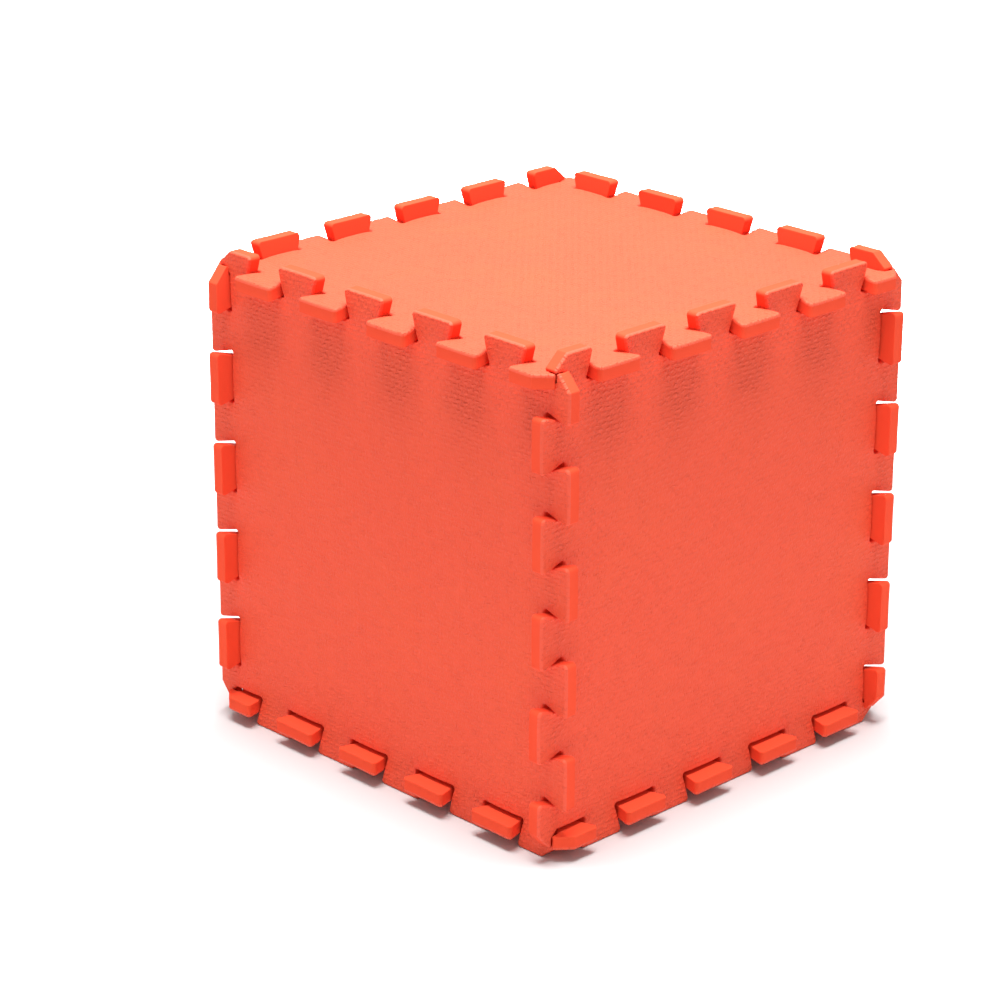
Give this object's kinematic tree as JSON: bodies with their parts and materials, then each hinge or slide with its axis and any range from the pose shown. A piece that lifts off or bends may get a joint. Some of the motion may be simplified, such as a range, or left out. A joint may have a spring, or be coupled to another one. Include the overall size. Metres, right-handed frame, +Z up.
{
  "type": "interlocking foam mat box",
  "caption": "Hollow cube of square foam puzzle mats whose dovetail teeth cross at every edge and stand proud of the faces.",
  "frame": {"origin": "centre of the footprint, on the surface that the side mats' downward teeth stand on", "axes": "+Z up; -Y out of the front mat; +X out of the right mat"},
  "size_m": [0.32, 0.32, 0.32],
  "materials": {
    "eva_foam": "matt closed-cell EVA foam, finely embossed outside, smooth inside and on cut edges"
  },
  "bodies": {
    "base_mat": {"base_mat": "eva_foam"},
    "front_mat": {"front_mat": "eva_foam"},
    "back_mat": {"back_mat": "eva_foam"},
    "left_mat": {"left_mat": "eva_foam"},
    "right_mat": {"right_mat": "eva_foam"},
    "top_mat": {"top_mat": "eva_foam"}
  },
  "joints": [
    {"name": "front_pull_off", "type": "slide", "parent": "base_mat", "child": "front_mat", "axis": [0, -1, 0], "range_m": [0, 0.15]},
    {"name": "back_pull_off", "type": "slide", "parent": "base_mat", "child": "back_mat", "axis": [0, 1, 0], "range_m": [0, 0.15]},
    {"name": "left_pull_off", "type": "slide", "parent": "base_mat", "child": "left_mat", "axis": [-1, 0, 0], "range_m": [0, 0.15]},
    {"name": "right_pull_off", "type": "slide", "parent": "base_mat", "child": "right_mat", "axis": [1, 0, 0], "range_m": [0, 0.15]},
    {"name": "top_pull_off", "type": "slide", "parent": "base_mat", "child": "top_mat", "axis": [0, 0, 1], "range_m": [0, 0.15]}
  ]
}
